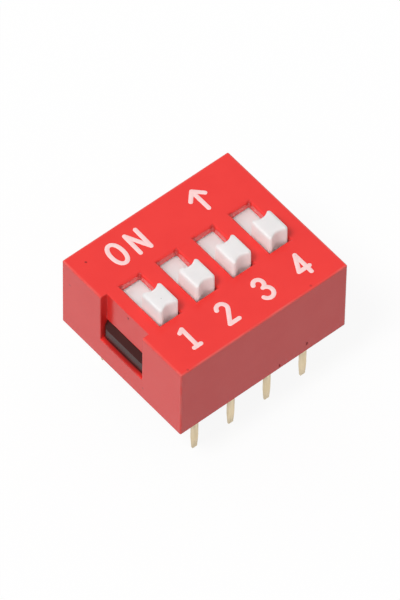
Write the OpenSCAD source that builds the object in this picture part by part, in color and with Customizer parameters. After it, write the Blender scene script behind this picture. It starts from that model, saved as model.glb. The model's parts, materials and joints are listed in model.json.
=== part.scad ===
// Four-pole slide switch in a dual in-line housing, for a printed circuit board.
// Origin: middle of the footprint, on the board's surface where the cover's rim sits.
// +X runs along the row from pole 1 to pole 4, +Y is the ON side, +Z is up.
// All sliders stand in the OFF position, at the front of their slots.

/* [Footprint] */
// Distance between neighbouring poles
pole_pitch = 2.54; // [2.45:0.01:3.2]
// Distance between the two rows of pins
row_pitch = 7.62; // [7:0.01:10.16]
// Length of a pin below the board's surface
pin_l = 4; // [3:0.1:5]
// Width of a pin
pin_w = 0.4; // [0.36:0.01:0.6]
// Width of a pin at its tip
tip_w = 0.25; // [0.2:0.01:0.35]
// Thickness of a pin at its tip
tip_t = 0.1; // [0.05:0.01:0.15]
// Length of the tapered end of a pin
taper_l = 0.9; // [0.5:0.1:2]
// Thickness of the terminal strip
strip_t = 0.2; // [0.15:0.01:0.25]

/* [Cover] */
// Thickness of the top wall
top_t = 0.57; // [0.45:0.01:1]
// Thickness of the two long side walls
side_t = 0.82; // [0.5:0.02:1.5]
// Thickness of the two end walls
end_t = 0.98; // [0.8:0.02:1.6]
// Radius of the outer edges
edge_r = 0.1; // [0.05:0.01:0.3]
// Radius in the corners of a slot
slot_r = 0.1; // [0.05:0.01:0.3]
// Width of the snap windows, and of the recess above the one by pole 1
recess_w = 3.45; // [2:0.05:6]
// Thickness of the sill below a snap window, and depth of the recess above the one by pole 1
recess_d = 0.45; // [0.35:0.01:0.6]
// Height of a snap window
window_h = 1.43; // [1.2:0.01:1.8]
// How far the sill of a snap window lies below the contact floor
sill_drop = 0.98; // [0.7:0.01:1.3]

/* [Base] */
// Thickness of the base under the contact floor
base_floor_t = 2.45; // [1.8:0.05:4]
// Height of the base's underside above the board
base_recess = 0.15; // [0.1:0.01:0.4]
// Thickness of the base outside the terminals
base_wall = 0.21; // [0.15:0.01:0.6]
// How far the face of a snap hook stands back from the end of the cover
hook_inset = 0.2; // [0.1:0.01:0.3]
// Height of the upright face of a snap hook
hook_face_h = 0.82; // [0.3:0.02:0.9]
// Height of the steep chamfer under the face of a snap hook
hook_undercut = 0.06; // [0.04:0.01:0.3]
// Width of the chamfer beside the face of a snap hook
hook_corner = 0.15; // [0.05:0.01:0.3]

/* [Slider] */
// Travel of a slider from OFF to ON
travel = 1.64; // [1:0.02:2]
// Length of a knob along its travel
knob_l = 1.64; // [1.2:0.02:2.4]
// Width of a knob
knob_w = 1.3; // [1:0.02:1.5]
// Height of a knob above the cover
knob_h = 1.06; // [0.6:0.02:2]
// How far each end of a knob leans in at the top
knob_draft = 0.02; // [0.01:0.01:0.2]
// Radius of the knob's top edges
knob_r = 0.15; // [0.03:0.01:0.2]
// Radius of the knob's upright corners
knob_corner = 0.15; // [0.05:0.01:0.25]
// Width of the finger scoop in each end of a knob
scoop_w = 1; // [0.6:0.05:1.2]
// Depth of the finger scoop
scoop_depth = 0.18; // [0.1:0.01:0.3]
// Thickness of the flange under the cover
flange_t = 0.68; // [0.4:0.02:1.2]
// How far the flange reaches under the cover on each side of a slot
flange_lap = 0.285; // [0.15:0.005:0.4]
// How far the flange still covers the ends of a slot
flange_lap_end = 0.1; // [0.1:0.01:0.4]
// Depth of the skirt that holds the contact
skirt_h = 1.39; // [1.2:0.01:2]
// Wall of the skirt
skirt_t = 0.3; // [0.2:0.01:0.4]

/* [Contacts] */
// Distance between the two feet of a contact bridge
foot_span = 2.6; // [2.4:0.05:3]
// Radius of a foot, at the middle of the leaf
foot_r = 0.28; // [0.2:0.01:0.35]
// Thickness of the leaf
leaf_t = 0.12; // [0.08:0.01:0.15]
// Length of the flat crest of the leaf
crest_l = 1; // [0.6:0.05:1.4]
// Width of the slit that splits each foot in two
slit_w = 0.25; // [0.15:0.01:0.4]
// Width of a terminal pad
pad_w = 1.2; // [0.9:0.05:1.5]
// How far a foot that makes contact stands in from the end of its pad
pad_lap = 0.4; // [0.2:0.05:0.5]
// Inner radius of the bend between a pad and its pin
bend_r = 0.2; // [0.1:0.02:0.4]
// Height of the wide shoulder's end above the underside of the base
shoulder_h = 0.6; // [0.3:0.05:1]

/* [Clearances] */
// Gap around a slider, on each side
run_gap = 0.03; // [0.02:0.01:0.06]
// Gap between a knob and its slot, on each side
slot_gap = 0.035; // [0.03:0.005:0.1]
// Gap between a flange and the end of its channel
end_gap = 0.08; // [0.05:0.01:0.2]
// Gap between the base and the cover, on each side
fit_gap = 0.03; // [0.02:0.01:0.06]
// Gap above and below a snap hook
hook_gap = 0.05; // [0.03:0.01:0.1]
// Gap on each side of a snap hook
hook_side_gap = 0.05; // [0.03:0.01:0.3]
// Gap between a leaf and the pocket around it
leaf_gap = 0.06; // [0.04:0.01:0.1]
// Gap between a foot and its pad
foot_gap = 0.02; // [0.01:0.01:0.04]

/* [Hidden] */
poles = 4;
$fn = 48;
arc_steps = 8;
// Overlap of cutting and joining shapes
lap = 0.05;
// End of the foot's arc, where the leaf's tip points up and out
tip_angle = 330;

cover_red = "#e2403e";
base_black = "#221d1d";
slider_white = "#ecebe8";
contact_gold = "#d9b968";
terminal_gold = "#cfc09b";

// Slider and slot sizes across and along the travel
slot_w = knob_w + 2 * slot_gap;
slot_l = knob_l + travel + 2 * slot_gap;
slider_w = slot_w + 2 * flange_lap;
flange_l = slot_l + travel + 2 * flange_lap_end;
channel_w = slider_w + 2 * run_gap;
channel_l = flange_l + travel + 2 * end_gap;
rest_y = -travel / 2;
scoop_r = (scoop_w * scoop_w / 4 + scoop_depth * scoop_depth) / (2 * scoop_depth);
draft_angle = atan(knob_draft / knob_h);

// Heights above the board
floor_z = base_recess + base_floor_t;
slider_z = floor_z + run_gap;
flange_z = slider_z + skirt_h;
shelf_z = flange_z + flange_t;
ceiling_z = shelf_z + run_gap;
body_h = ceiling_z + top_t;
knob_top_z = body_h + knob_h;
sill_z = floor_z - sill_drop;
window_z = sill_z + window_h;
shoulder_z = base_recess + shoulder_h;

// Base, cavity and cover, from the inside out
base_w = max(row_pitch + strip_t, channel_l) + 2 * base_wall;
cavity_w = base_w + 2 * fit_gap;
cavity_l = (poles - 1) * pole_pitch + channel_w;
base_l = cavity_l - 2 * fit_gap;
body_w = cavity_w + 2 * side_t;
body_l = cavity_l + 2 * end_t;
hook_w = recess_w - 2 * hook_side_gap;

// Contact leaf and the pocket that holds it
leaf_end = foot_span / 2 + (foot_r + leaf_t / 2) * cos(tip_angle) + leaf_t / 2;
pocket_l = 2 * leaf_end + 2 * leaf_gap;
pocket_w = slider_w - 2 * skirt_t;
leaf_w = pocket_w - 2 * leaf_gap;
skirt_l = pocket_l + 2 * skirt_t;

// Place of a pole along the row
function pole_x(i) = (i - (poles + 1) / 2) * pole_pitch;

// Inner end of a terminal's pad, measured outwards from the middle;
// side is 1 for the back row and -1 for the front row
function pad_inner_y(side) = foot_span / 2 + side * travel / 2 - pad_lap;

// Points on an arc, from angle a to angle b
function arc(centre, r, a, b, steps) =
    [for (k = [0 : steps]) let (t = a + (b - a) * k / steps) centre + r * [cos(t), sin(t)]];

function unit(v) = v / norm(v);

// Left-hand normal of a path at point k, lengthened so that both neighbours keep the full thickness
function mitre(path, k) =
    let (
        before = unit(path[max(k, 1)] - path[max(k, 1) - 1]),
        after = unit(path[min(k, len(path) - 2) + 1] - path[min(k, len(path) - 2)]),
        middle = unit(before + after)
    )
    [-middle[1], middle[0]] / (middle * before);

// Outline of a strip of thickness t along a path
function strip(path, t) =
    let (last = len(path) - 1)
    concat(
        [for (k = [0 : last]) path[k] + mitre(path, k) * t / 2],
        [for (k = [last : -1 : 0]) path[k] - mitre(path, k) * t / 2]
    );

// Rectangle on the origin with four rounded corners
module rounded_square(size, r) {
    square([size[0] - 2 * r, size[1]], center = true);
    square([size[0], size[1] - 2 * r], center = true);
    for (x = [-1, 1], y = [-1, 1])
        translate([x * (size[0] / 2 - r), y * (size[1] / 2 - r)])
            circle(r);
}

// Upright outline with its foot on the axis and its two top corners rounded
module soft_top(w, h, r) {
    translate([-w / 2, 0])
        square([w, h - r]);
    translate([-w / 2 + r, 0])
        square([w - 2 * r, h]);
    for (x = [-1, 1])
        translate([x * (w / 2 - r), h - r])
            circle(r);
}

// Turns an outline drawn in x and z along the y axis
module along_y(l) {
    rotate([90, 0, 0])
        linear_extrude(l, center = true)
            children();
}

// Turns an outline drawn in y and z along the x axis
module along_x(l) {
    rotate([90, 0, 90])
        linear_extrude(l, center = true)
            children();
}

// Puts the children at both ends of the row, drawn at the +X end
module both_ends() {
    children();
    mirror([1, 0, 0])
        children();
}

// Box centred in x and y that stands on height z
module block(size, z) {
    translate([-size[0] / 2, -size[1] / 2, z])
        cube(size);
}

// Cover

module cover_blank() {
    intersection() {
        linear_extrude(body_h)
            rounded_square([body_l, body_w], edge_r);
        along_y(body_w)
            soft_top(body_l, body_h, edge_r);
        along_x(body_l)
            soft_top(body_w, body_h, edge_r);
    }
}

// Opening of height h in the outside of an end wall, from the sill up
module end_opening(h) {
    translate([body_l / 2 - recess_d, -recess_w / 2, sill_z])
        cube([recess_d + lap, recess_w, h]);
}

// Groove inside an end wall that meets the opening and leaves the snap window
module hook_groove() {
    translate([cavity_l / 2 - lap, -recess_w / 2, -lap])
        cube([end_t - recess_d + 2 * lap, recess_w, window_z + lap]);
}

// Slot in the top wall that a knob slides in
module slot() {
    translate([0, 0, ceiling_z - lap])
        linear_extrude(top_t + 2 * lap)
            rounded_square([slot_w, slot_l], slot_r);
}

module cover() {
    color(cover_red)
        difference() {
            cover_blank();
            block([cavity_l, cavity_w, ceiling_z + lap], -lap);
            for (i = [1 : poles])
                translate([pole_x(i), 0, 0])
                    slot();
            both_ends() {
                end_opening(window_h);
                hook_groove();
            }
            mirror([1, 0, 0])
                end_opening(body_h);
        }
}

// Base

// Snap hook: upright face with chamfers below and beside it and a lead-in slope above it
module hook() {
    face_x = body_l / 2 - hook_inset;
    wall_x = cavity_l / 2;
    root_x = base_l / 2 - lap;
    under_z = sill_z + hook_gap;
    crown_z = window_z - hook_gap;
    half = hook_w / 2;
    intersection() {
        along_y(hook_w)
            polygon([
                [root_x, under_z],
                [face_x - hook_undercut / 2, under_z],
                [face_x, under_z + hook_undercut],
                [face_x, under_z + hook_undercut + hook_face_h],
                [body_l / 2 - recess_d, crown_z],
                [wall_x, crown_z],
                [wall_x, floor_z],
                [root_x, floor_z]
            ]);
        linear_extrude(body_h)
            polygon([
                [root_x, -half],
                [face_x - hook_corner / 2, -half],
                [face_x, hook_corner - half],
                [face_x, half - hook_corner],
                [face_x - hook_corner / 2, half],
                [root_x, half]
            ]);
    }
}

module base() {
    color(base_black)
        difference() {
            union() {
                block([base_l, base_w, ceiling_z - base_recess], base_recess);
                both_ends()
                    hook();
            }
            for (i = [1 : poles])
                translate([pole_x(i), 0, 0])
                    block([channel_w, channel_l, body_h], floor_z);
            for (i = [1 : poles], side = [-1, 1])
                terminal_strip(i, side);
        }
}

// Sliders

// Outline of a knob from the side: upright in the slot, leaning in above it
module knob_side() {
    half = knob_l / 2;
    top_half = half - knob_draft;
    turn = 90 - draft_angle;
    corner = [top_half - knob_r * tan(turn / 2), knob_top_z - knob_r];
    upright = [[half, flange_z + lap], [half, body_h]];
    right = concat(upright, arc(corner, knob_r, draft_angle, 90, arc_steps));
    left = [for (k = [len(right) - 1 : -1 : 0]) [-right[k][0], right[k][1]]];
    polygon(concat(right, left));
}

// Finger scoop in the front end of a knob, leaning with that end
module scoop() {
    translate([0, -knob_l / 2, body_h])
        rotate([-draft_angle, 0, 0])
            translate([0, scoop_depth - scoop_r, 0])
                cylinder(r = scoop_r, h = 2 * (knob_h + top_t), center = true);
}

module knob() {
    difference() {
        intersection() {
            along_x(knob_w)
                knob_side();
            along_y(knob_l)
                soft_top(knob_w, knob_top_z, knob_r);
            linear_extrude(knob_top_z)
                rounded_square([knob_w, knob_l], knob_corner);
        }
        intersection() {
            union() {
                scoop();
                mirror([0, 1, 0])
                    scoop();
            }
            block([knob_w + lap, 2 * knob_l, knob_top_z - shelf_z + lap], shelf_z);
        }
    }
}

module slider(i) {
    color(slider_white)
        translate([pole_x(i), rest_y, 0]) {
            difference() {
                union() {
                    block([slider_w, flange_l, flange_t], flange_z);
                    block([slider_w, skirt_l, skirt_h + lap], slider_z);
                }
                block([pocket_w, pocket_l, skirt_h + lap], slider_z - lap);
            }
            knob();
        }
}

// Contacts

// Middle line of half a leaf: flat crest, straight leg, round foot with its tip turned up
function half_leaf() =
    let (
        crest = [crest_l / 2, flange_z - leaf_t / 2],
        foot = [foot_span / 2, floor_z + foot_gap + leaf_t / 2 + foot_r],
        toward = crest - foot,
        start_angle = atan2(toward[1], toward[0]) + acos(foot_r / norm(toward))
    )
    concat([crest], arc(foot, foot_r, start_angle, tip_angle, arc_steps));

module contact(i) {
    right = half_leaf();
    left = [for (k = [len(right) - 1 : -1 : 0]) [-right[k][0], right[k][1]]];
    slit_y = crest_l / 2 + leaf_t;
    color(contact_gold)
        translate([pole_x(i), rest_y, 0])
            difference() {
                along_x(leaf_w)
                    polygon(strip(concat(left, right), leaf_t));
                for (side = [-1, 1])
                    translate([-slit_w / 2, side > 0 ? slit_y : -slit_y - leaf_end, 0])
                        cube([slit_w, leaf_end, flange_z]);
            }
}

// Terminals

// Side outline of a terminal's wide part: pad, bend and shoulder, drawn for the back row
module shoulder_side(side) {
    outer_r = bend_r + strip_t;
    outer_y = row_pitch / 2 + strip_t / 2;
    bend_y = outer_y - outer_r;
    bend_z = floor_z - outer_r;
    translate([pad_inner_y(side), floor_z - strip_t])
        square([bend_y - pad_inner_y(side), strip_t]);
    translate([bend_y, bend_z])
        intersection() {
            difference() {
                circle(outer_r);
                circle(bend_r);
            }
            square(outer_r);
        }
    translate([outer_y - strip_t, shoulder_z])
        square([strip_t, bend_z - shoulder_z]);
}

// Upright outline of a pin: parallel at width w, then tapered to width tip
module pin_outline(w, tip) {
    half = w / 2;
    taper_z = taper_l - pin_l;
    polygon([
        [-half, shoulder_z + lap],
        [half, shoulder_z + lap],
        [half, taper_z],
        [tip / 2, -pin_l],
        [-tip / 2, -pin_l],
        [-half, taper_z]
    ]);
}

// One bent strip; the front row is the mirror image of the back row, with a longer pad
module terminal_strip(i, side) {
    translate([pole_x(i), 0, 0])
        mirror([0, side < 0 ? 1 : 0, 0]) {
            along_x(pad_w)
                shoulder_side(side);
            translate([0, row_pitch / 2, 0])
                intersection() {
                    along_y(strip_t)
                        pin_outline(pin_w, tip_w);
                    along_x(pin_w)
                        pin_outline(strip_t, tip_t);
                }
        }
}

module terminal(i, side) {
    color(terminal_gold)
        terminal_strip(i, side);
}

cover();
base();
for (i = [1 : poles]) {
    slider(i);
    contact(i);
    terminal(i, -1);
    terminal(i, 1);
}
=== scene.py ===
"""Looks of a four-pole slide switch for a printed circuit board.

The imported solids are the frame: +X runs along the row from pole 1 to pole 4, +Y is the ON side
and +Z is up, with the board's surface at zero. Sizes are in millimetres until a mesh is written.
"""
import json
import logging
import math
from collections.abc import Mapping, Sequence
from dataclasses import dataclass, field
from enum import Enum, IntEnum
from functools import cache, partial, reduce

import bmesh
import bpy
import numpy as np
from bpy.types import ID, Material, Mesh, Node, NodeTree, Object, bpy_prop_collection
from bpy.types import NodeSocket as Socket
from mathutils import Matrix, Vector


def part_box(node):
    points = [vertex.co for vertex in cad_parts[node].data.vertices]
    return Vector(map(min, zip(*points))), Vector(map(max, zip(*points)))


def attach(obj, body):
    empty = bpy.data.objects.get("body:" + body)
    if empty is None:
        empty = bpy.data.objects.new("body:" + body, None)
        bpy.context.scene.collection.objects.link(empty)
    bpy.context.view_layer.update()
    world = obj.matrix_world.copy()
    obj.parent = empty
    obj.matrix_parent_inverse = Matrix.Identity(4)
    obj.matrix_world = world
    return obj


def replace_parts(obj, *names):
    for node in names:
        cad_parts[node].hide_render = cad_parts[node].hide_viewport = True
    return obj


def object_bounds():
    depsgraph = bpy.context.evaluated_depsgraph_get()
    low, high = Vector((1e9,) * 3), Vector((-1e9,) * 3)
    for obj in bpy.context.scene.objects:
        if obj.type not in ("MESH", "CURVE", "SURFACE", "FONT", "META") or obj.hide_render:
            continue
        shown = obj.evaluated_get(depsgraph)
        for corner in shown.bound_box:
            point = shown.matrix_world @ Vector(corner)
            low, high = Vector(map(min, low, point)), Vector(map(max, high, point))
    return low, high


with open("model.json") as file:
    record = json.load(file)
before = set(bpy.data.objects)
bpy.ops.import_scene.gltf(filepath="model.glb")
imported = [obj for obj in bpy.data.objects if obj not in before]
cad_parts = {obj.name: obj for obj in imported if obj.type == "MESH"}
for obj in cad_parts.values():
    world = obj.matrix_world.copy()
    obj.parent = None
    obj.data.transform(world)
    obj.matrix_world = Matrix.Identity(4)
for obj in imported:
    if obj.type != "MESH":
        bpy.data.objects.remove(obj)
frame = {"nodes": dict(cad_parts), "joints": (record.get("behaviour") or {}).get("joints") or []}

CAD_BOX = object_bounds()
MM = 0.001
TINY = 1e-9
MERGE_GAP = 1e-8
QUAD = 4
POLES = len(frame["joints"])
NUMBERS = range(1, POLES + 1)
FULL_TURN = 360.0
FINE_DETAIL = 3.0
CLOUD_DETAIL = 4.0
CLOUD_STEP = (0.3, 0.7)
PATCH_STEP = (0.35, 0.65)
LEAST_WEAR_AND_HIGHLIGHT = 0.35

log = logging.getLogger("slide_switch")

Pair = tuple[float, float]
Triple = tuple[float, float, float]
Value = float | tuple[float, ...] | Socket


class Row(Enum):
    """The two rows of terminals, by the side of the body that each stands on."""

    FRONT = -1
    BACK = 1


class Column(IntEnum):
    """What each column of a table of sections holds."""

    HALF_W = 0
    HALF_L = 1
    PLACE = 2
    CORNER = 3
    SCOOP = 4


# Measures and surfaces


@dataclass(frozen=True)
class Extent:
    """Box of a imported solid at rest, in millimetres."""

    low: np.ndarray
    high: np.ndarray

    @classmethod
    def of(cls, node: str) -> "Extent":
        """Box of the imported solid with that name."""
        low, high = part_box(node)
        return cls(np.array(low) / MM, np.array(high) / MM)

    @property
    def size(self) -> np.ndarray:
        """Length along each axis."""
        return self.high - self.low

    @property
    def middle(self) -> np.ndarray:
        """Point half-way between the two corners."""
        return (self.low + self.high) / 2


def pole_places() -> np.ndarray:
    """Middle of every pole along x."""
    return np.array([Extent.of(f"slider_{i}").middle[0] for i in NUMBERS])


@dataclass(frozen=True)
class Surface:
    """Points in millimetres, and four-sided faces that name them."""

    points: np.ndarray
    faces: np.ndarray

    @classmethod
    def joined(cls, surfaces: Sequence["Surface"]) -> "Surface":
        """Puts surfaces side by side in one.

        Args:
            surfaces: the parts, in order.

        Returns:
            One surface that holds them all.
        """
        starts = np.cumsum([0] + [len(s.points) for s in surfaces[:-1]])
        return cls(
            np.concatenate([s.points for s in surfaces]),
            np.concatenate([s.faces + start for s, start in zip(surfaces, starts)]),
        )

    def outward(self) -> "Surface":
        """Turns every face round if the surface encloses a negative volume.

        The volume is a sixth of the sum of a . (b x c) over the two triangles of each face.

        Returns:
            The same surface with its faces looking out.
        """
        a, b, c, d = np.moveaxis(self.points[self.faces], 1, 0)
        volume = np.sum(a * (np.cross(b, c) + np.cross(c, d)))
        return self if volume > 0 else Surface(self.points, self.faces[:, ::-1])


@dataclass(frozen=True)
class Path:
    """Places that a section is carried to, with the directions of its width and its length at each."""

    places: np.ndarray
    across: np.ndarray
    along: np.ndarray

    def carry(self, plan: np.ndarray) -> np.ndarray:
        """Sets flat sections into space: place + u times across + v times along.

        Args:
            plan: u and v of each section's points, one section for each place.

        Returns:
            The points, with the shape of plan and three coordinates each.
        """
        u, v = plan[..., :1], plan[..., 1:]
        return self.places[:, None] + u * self.across[:, None] + v * self.along[:, None]

    def end(self, index: int) -> "Path":
        """Path that holds only the first place, for index 0, or the last, for index -1."""
        pick = [index]
        return Path(self.places[pick], self.across[pick], self.along[pick])


@dataclass(frozen=True)
class RingDetail:
    """How many steps a section takes round a corner, across an end and along a side."""

    corner: int = 5
    end: int = 28
    side: int = 8


def quads(index: np.ndarray) -> np.ndarray:
    """Four-sided faces between neighbours along the last two axes of an array of point numbers."""
    corners = (index[..., :-1, :-1], index[..., 1:, :-1], index[..., 1:, 1:], index[..., :-1, 1:])
    return np.stack(corners, axis=-1)


def grid_faces(rows: int, columns: int, loop_rows: bool = False, loop_columns: bool = False) -> np.ndarray:
    """Faces of a grid of points that are numbered row by row.

    Args:
        rows: number of rows of points.
        columns: number of points in a row.
        loop_rows: whether the last row joins the first one.
        loop_columns: whether each row's last point joins its first one.

    Returns:
        Four point numbers for each face.
    """
    index = np.arange(rows * columns).reshape(rows, columns)
    looped = np.pad(index, [(0, int(loop_rows)), (0, int(loop_columns))], mode="wrap")
    return quads(looped).reshape(-1, QUAD)


def soften(stations: np.ndarray, radii: np.ndarray, steps: int = 4) -> np.ndarray:
    """Rounds the corners of a chain of stations.

    Each inner station becomes a quadratic Bezier curve. It leaves the line to the station before
    and meets the line to the one after, each at that station's radius, or half-way if that is nearer.

    Args:
        stations: one row for each station, in the columns of Column.
        radii: rounding at each station; the first and last are not rounded.
        steps: steps along each curve.

    Returns:
        The longer chain, with the same columns.
    """
    here = stations[1:-1]
    share = np.linspace(0, 1, steps + 1)[None, :, None]

    def toward(there: np.ndarray) -> np.ndarray:
        """Goes from each inner station towards a neighbour.

        Args:
            there: the neighbours.

        Returns:
            The points where the curves begin or end.
        """
        step = there - here
        reach = np.abs(step[:, : Column.PLACE + 1]).max(axis=1, keepdims=True)
        return here + step * np.minimum(radii[1:-1, None] / np.maximum(reach, TINY), 0.5)

    before, after = toward(stations[:-2])[:, None], toward(stations[2:])[:, None]
    curve = (1 - share) ** 2 * before + 2 * share * (1 - share) * here[:, None] + share**2 * after
    return np.concatenate([stations[:1], curve.reshape(-1, stations.shape[1]), stations[-1:]])


def loft(
    path: Path,
    stations: np.ndarray,
    detail: RingDetail,
    scoop_half_w: float = 1.0,
    closed: bool = False,
) -> Surface:
    """Carries a rounded rectangle along a path, with a scoop in both of its ends.

    A section's end is the line v = half length, lowered by scoop times (1 - (u / reach) ** 2) where that
    is positive. The reach is the scoop's half width, or the straight part's where that is less. Each
    corner is a quarter circle. The other end is its mirror image.

    Args:
        path: places and directions, one for each station.
        stations: size of the section at each place, in the columns of Column.
        detail: steps round a section.
        scoop_half_w: half width of the scoop.
        closed: whether the last section joins the first; otherwise both ends are closed by caps.

    Returns:
        A closed surface with its faces looking out.
    """
    half_w, half_l, _, corner, scoop = stations.T[:, :, None]
    turn = np.linspace(0, math.pi / 2, detail.corner + 1)[None, :-1]
    straight = half_w - corner
    flat_x = straight * np.linspace(1, -1, detail.end + 1)
    flat_y = half_l - scoop * np.clip(1 - (flat_x / np.minimum(scoop_half_w, straight)) ** 2, 0, None)
    bend_x = straight + corner * np.cos(turn)
    bend_y = half_l - corner + corner * np.sin(turn)
    end_x = np.concatenate([bend_x, flat_x, -bend_x[:, ::-1]], axis=1)
    end_y = np.concatenate([bend_y, flat_y, bend_y[:, ::-1]], axis=1)

    fall = np.linspace(1, -1, detail.side + 1)
    side_y = end_y[:, :1] * fall[1:-1]
    side_x = np.broadcast_to(half_w, side_y.shape)
    ring_x = np.concatenate([end_x, -side_x, end_x[:, ::-1], side_x], axis=1)
    ring_y = np.concatenate([end_y, side_y, -end_y[:, ::-1], -side_y], axis=1)
    rings = path.carry(np.stack([ring_x, ring_y], axis=-1))
    tube = Surface(rings.reshape(-1, 3), grid_faces(*rings.shape[:2], closed, loop_columns=True))
    if closed:
        return tube.outward()

    caps = []
    for index in (0, -1):
        cap_x = np.repeat(end_x[index], len(fall))
        cap_y = np.outer(end_y[index], fall).ravel()
        points = path.end(index).carry(np.stack([cap_x, cap_y], axis=-1)[None])[0]
        faces = grid_faces(end_x.shape[1], len(fall))
        caps.append(Surface(points, faces if index == 0 else faces[:, ::-1]))
    return Surface.joined([tube, *caps]).outward()


def lattice_skin(points: np.ndarray, solid: np.ndarray) -> Surface:
    """Skin of the solid cells of a lattice.

    Wherever a solid cell meets an empty one across a plane of the lattice, the four points between
    them make a face that looks towards the empty side.

    Args:
        points: lattice points by their three numbers, with three coordinates each.
        solid: whether each cell is filled, by its three numbers.

    Returns:
        The closed skin.
    """
    index = np.arange(math.prod(points.shape[:3])).reshape(points.shape[:3])
    filled = np.pad(solid, 1).astype(np.int8)
    faces = []
    for axis in range(3):
        order = (axis, (axis + 1) % 3, (axis + 2) % 3)
        step = np.diff(filled.transpose(order), axis=0)[:, 1:-1, 1:-1]
        sides = quads(index.transpose(order))
        faces += [sides[step < 0], sides[step > 0][:, ::-1]]
    used, renumbered = np.unique(np.concatenate(faces), return_inverse=True)
    return Surface(points.reshape(-1, 3)[used], renumbered.reshape(-1, QUAD))


def make_piece(name: str, surface: Surface) -> Object:
    """Writes a surface into a mesh in metres, with its seams merged and its faces smooth.

    Args:
        name: name of the new piece.
        surface: points and faces in millimetres.

    Returns:
        The piece, at the origin and in the scene.
    """
    mesh = bpy.data.meshes.new(name)
    mesh.from_pydata((surface.points * MM).tolist(), [], surface.faces.tolist())
    work = bmesh.new()
    work.from_mesh(mesh)
    bmesh.ops.remove_doubles(work, verts=work.verts, dist=MERGE_GAP)
    work.to_mesh(mesh)
    work.free()
    mesh.polygons.foreach_set("use_smooth", np.ones(len(mesh.polygons), bool))
    mesh.update()
    piece = bpy.data.objects.new(name, mesh)
    bpy.context.scene.collection.objects.link(piece)
    return piece


def listed(items: bpy_prop_collection, name: str, width: int, kind: type) -> np.ndarray:
    """Reads one property of all the parts of a mesh.

    Args:
        items: the mesh's vertices, edges, loops or faces.
        name: name of the property.
        width: how many numbers it has.
        kind: type of the numbers.

    Returns:
        A row of numbers for each part.
    """
    values = np.empty(len(items) * width, kind)
    items.foreach_get(name, values)
    return values.reshape(-1, width)


def settle(piece: Object, body: str, material: Material) -> None:
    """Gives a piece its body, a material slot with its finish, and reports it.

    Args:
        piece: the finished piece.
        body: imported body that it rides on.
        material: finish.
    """
    piece.data.materials.append(material)
    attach(piece, body)
    log.info("%s: %d faces on %s", piece.name, len(piece.data.polygons), body)


# Shader nodes


class Graph:
    """A node tree filled by short calls; a value is a number, a colour, a vector or a node's output."""

    def __init__(self, tree: NodeTree) -> None:
        """Starts on an empty or existing tree."""
        self.tree = tree

    def feed(self, target: Socket, value: Value) -> None:
        """Joins another node's output to an input, or sets the input's own value.

        Args:
            target: the input.
            value: what it takes.
        """
        if isinstance(value, Socket):
            self.tree.links.new(value, target)
        else:
            target.default_value = value

    def node(self, kind: str, inputs: Mapping[str | int, Value], **settings: object) -> Node:
        """Adds a node.

        Args:
            kind: Blender's name for the node's type.
            inputs: values by the input's name or number.
            **settings: the node's own properties.

        Returns:
            The node.
        """
        node = self.tree.nodes.new(kind)
        for name, setting in settings.items():
            setattr(node, name, setting)
        for name, value in inputs.items():
            self.feed(node.inputs[name], value)
        return node

    def math(self, operation: str, first: Value, second: Value = 0.0) -> Socket:
        """Adds one sum of two numbers and gives its output."""
        return self.node("ShaderNodeMath", {0: first, 1: second}, operation=operation).outputs[0]

    def vector(self, operation: str, first: Value, second: Value = (0.0, 0.0, 0.0)) -> Node:
        """Adds one sum of two vectors and gives the node."""
        return self.node("ShaderNodeVectorMath", {0: first, 1: second}, operation=operation)

    def highest(self, values: Sequence[Value]) -> Value:
        """Adds the sums that give the highest of some numbers."""
        return reduce(partial(self.math, "MAXIMUM"), values)

    def mix(self, share: Value, first: Value, second: Value) -> Socket:
        """Adds a mix of two colours.

        Args:
            share: how much of the second colour is in it.
            first: colour at share 0.
            second: colour at share 1.

        Returns:
            The mixed colour.
        """
        node = self.node("ShaderNodeMix", {}, data_type="RGBA")
        sockets = {s.identifier: s for s in node.inputs}
        self.feed(sockets["Factor_Float"], share)
        self.feed(sockets["A_Color"], first)
        self.feed(sockets["B_Color"], second)
        return next(s for s in node.outputs if s.identifier == "Result_Color")

    def band(self, value: Value, start: float, stop: float, low: float = 0.0, high: float = 1.0) -> Socket:
        """Adds a smooth step from low at start to high at stop and gives its output."""
        inputs = {"Value": value, "From Min": start, "From Max": stop, "To Min": low, "To Max": high}
        return self.node("ShaderNodeMapRange", inputs, interpolation_type="SMOOTHSTEP").outputs[0]

    def noise(self, place: Value, scale: Value, detail: float = 2.0) -> Socket:
        """Adds a cloud noise from 0 to 1 and gives its value."""
        inputs = {"Vector": place, "Scale": scale, "Detail": detail}
        return self.node("ShaderNodeTexNoise", inputs).outputs[0]

    def place(self) -> Socket:
        """Adds a reader of the piece's own coordinates and gives them."""
        return self.node("ShaderNodeTexCoord", {}).outputs["Object"]

    def rays(self) -> Mapping[str, Socket]:
        """Adds a reader of the kind of ray that sees the surface and gives its masks."""
        return self.node("ShaderNodeLightPath", {}).outputs

    def seen_directly(self) -> Value:
        """Adds a mask that is 1 for the camera, for reflections and for what shows through glass."""
        rays = self.rays()
        return self.highest([rays[f"Is {kind} Ray"] for kind in ("Camera", "Glossy", "Transmission")])

    def group(self, tree: NodeTree, values: Mapping[str, Value]) -> Mapping[str, Socket]:
        """Places a node group with its own values and gives its outputs."""
        return self.node("ShaderNodeGroup", values, node_tree=tree).outputs


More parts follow.
